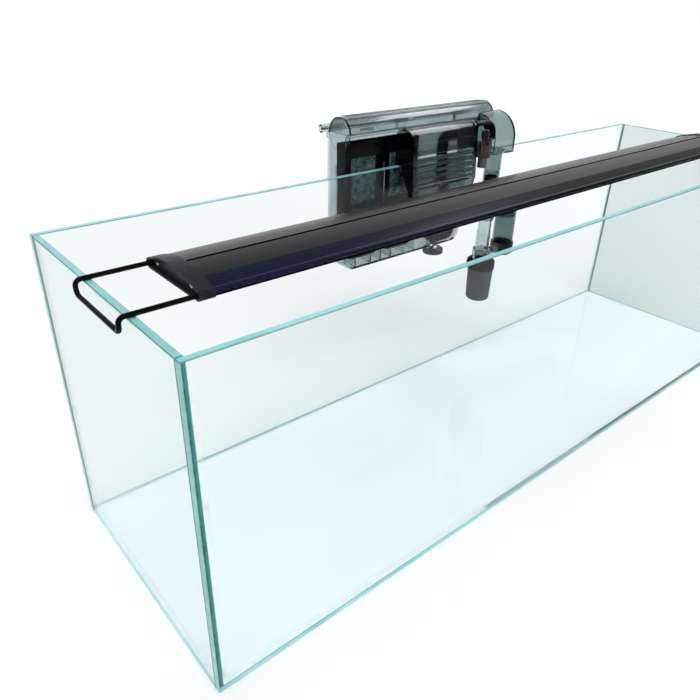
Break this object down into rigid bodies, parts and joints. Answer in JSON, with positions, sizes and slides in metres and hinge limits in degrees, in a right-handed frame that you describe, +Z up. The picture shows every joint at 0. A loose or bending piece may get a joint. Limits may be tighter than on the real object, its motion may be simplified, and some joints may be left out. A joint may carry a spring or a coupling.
{
  "type": "bookshelf aquarium",
  "caption": "Long low rimless glass tank with an arched lamp bar on wire legs and a slim hang-on filter with lid, spout, intake tube and surface skimmer.",
  "frame": {"origin": "centre of the tank's underside, on the surface that it stands on", "axes": "+X along the tank's length to the right, +Y from the front pane to the back pane, +Z up"},
  "size_m": [0.9156, 0.3, 0.3492],
  "materials": {
    "clear_glass": "polished float glass",
    "clear_silicone": "smooth clear sealant",
    "black_aluminium": "satin black anodised",
    "black_plastic": "satin",
    "bright_steel": "plain",
    "clear_plastic": "transparent",
    "smoke_plastic": "transparent smoke grey",
    "white_board": "plain",
    "lamp_resin": "plain",
    "black_rubber": "matt",
    "black_wire": "gloss black",
    "red_rubber": "matt",
    "red_plastic": "glossy dark red",
    "grey_sponge": "open-cell foam",
    "filter_floss": "fibrous",
    "white_ceramic": "polished"
  },
  "bodies": {
    "tank": {"bottom_pane": "clear_glass", "front_pane": "clear_glass", "back_pane": "clear_glass", "left_end_pane": "clear_glass", "right_end_pane": "clear_glass", "silicone_seams": "clear_silicone"},
    "light": {"light_housing": "black_aluminium", "light_cap_left": "black_plastic", "light_cap_right": "black_plastic", "light_cap_screws": "bright_steel", "light_lens": "clear_plastic", "led_board": "white_board", "led_chips": "lamp_resin", "light_cord_gland": "black_rubber"},
    "left_leg": {"left_wire_leg": "black_wire"},
    "right_leg": {"right_wire_leg": "black_wire"},
    "filter": {"filter_body": "smoke_plastic", "lid_hinge_pin": "bright_steel", "outlet_spout": "smoke_plastic", "intake_elbow": "clear_plastic", "intake_sleeve": "smoke_plastic", "motor_housing": "black_plastic", "impeller_shaft": "white_ceramic", "volute_cover": "black_plastic", "inlet_riser": "black_plastic", "filter_cord_gland": "black_rubber", "cartridge_frame_left": "black_plastic", "cartridge_pad_left": "filter_floss", "cartridge_frame_right": "black_plastic", "cartridge_pad_right": "filter_floss"},
    "lid": {"filter_lid": "smoke_plastic"},
    "impeller_rotor": {"impeller": "black_plastic"},
    "valve": {"flow_valve": "red_plastic"},
    "wheel": {"levelling_wheel": "smoke_plastic"},
    "intake_lower": {"intake_inner_tube": "clear_plastic", "intake_seal": "red_rubber", "strainer_collar": "black_plastic", "strainer_core": "black_plastic", "prefilter_sponge": "grey_sponge", "skimmer_elbow": "black_plastic", "skimmer_tube": "clear_plastic", "skimmer_crown": "black_plastic"},
    "float": {"skimmer_float": "smoke_plastic"}
  },
  "joints": [
    {"name": "light_lift", "type": "slide", "parent": "tank", "child": "light", "axis": [0, 0, 1], "range_m": [0, 0.12]},
    {"name": "left_leg_slide", "type": "slide", "parent": "light", "child": "left_leg", "axis": [-1, 0, 0], "range_m": [-0.003, 0.055]},
    {"name": "right_leg_slide", "type": "slide", "parent": "light", "child": "right_leg", "axis": [1, 0, 0], "range_m": [-0.003, 0.055]},
    {"name": "filter_lift", "type": "slide", "parent": "tank", "child": "filter", "axis": [0, 0, 1], "range_m": [0, 0.21]},
    {"name": "lid_hinge", "type": "hinge", "parent": "filter", "child": "lid", "pos_m": [0, 0.1665, 0.333], "axis": [-1, 0, 0], "range_deg": [0, 100]},
    {"name": "impeller_spin", "type": "hinge", "parent": "filter", "child": "impeller_rotor", "pos_m": [0.05, 0.14625, 0.2], "axis": [0, 0, 1], "continuous": true},
    {"name": "flow_valve_turn", "type": "hinge", "parent": "filter", "child": "valve", "pos_m": [0.0735, 0.099, 0.3], "axis": [0, 0, 1], "range_deg": [0, 90]},
    {"name": "levelling_wheel_turn", "type": "hinge", "parent": "filter", "child": "wheel", "pos_m": [0.044, 0.1458, 0.165], "axis": [0, 0, 1], "range_deg": [-90, 90]},
    {"name": "intake_telescope", "type": "slide", "parent": "filter", "child": "intake_lower", "axis": [0, 0, 1], "range_m": [-0.045, 0.018]},
    {"name": "float_slide", "type": "slide", "parent": "intake_lower", "child": "float", "axis": [0, 0, 1], "range_m": [0, 0.008]}
  ]
}
